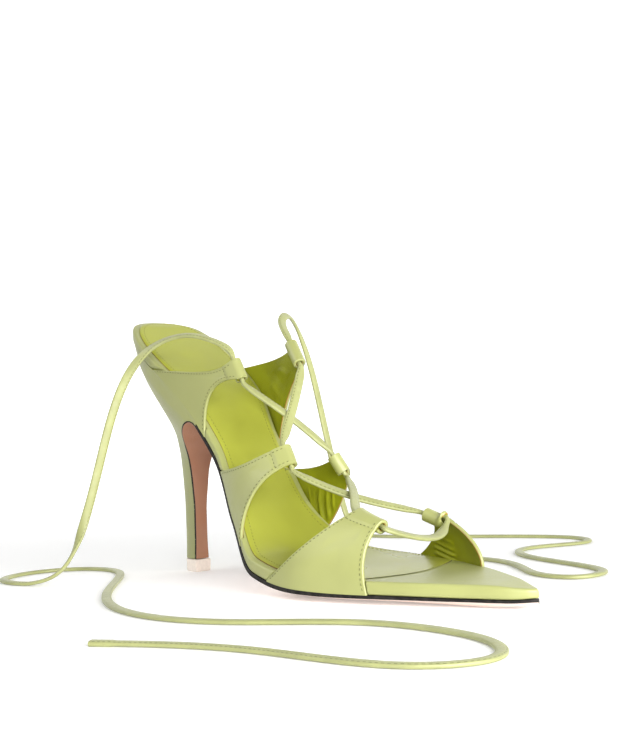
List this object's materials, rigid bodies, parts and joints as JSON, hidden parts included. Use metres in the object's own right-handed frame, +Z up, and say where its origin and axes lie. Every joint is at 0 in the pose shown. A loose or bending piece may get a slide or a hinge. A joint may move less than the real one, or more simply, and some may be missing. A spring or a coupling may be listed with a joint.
{
  "type": "high heel sandal",
  "caption": "Lace-up satin sandal on a slim high heel, with a pointed open toe, looped side wings and a long flat lace.",
  "frame": {"origin": "middle of the top lift's tread, on the plane the shoe stands on", "axes": "+X from the heel tip towards the toe, +Y to the medial side, +Z up"},
  "size_m": [0.3771, 0.3616, 0.1253],
  "materials": {
    "satin": "pale lime satin with a soft sheen",
    "lace": "flat satin tube, soft sheen",
    "sock_leather": "glossy lime leather",
    "sole_leather": "smooth tan leather with a black inked edge",
    "top_lift": "pale beige, even"
  },
  "bodies": {
    "root": {"outsole": "sole_leather", "heel": "satin", "top_lift": "top_lift", "insole": "satin", "sock": "sock_leather", "lace_toe": "lace", "lace_cross_front": "lace", "lace_cross_instep": "lace", "lace_end_lateral": "lace", "lace_end_medial": "lace", "quarter_lateral": "satin", "quarter_medial": "satin", "waist_lateral": "satin", "waist_medial": "satin", "vamp_lateral": "satin", "vamp_medial": "satin"}
  },
  "joints": []
}
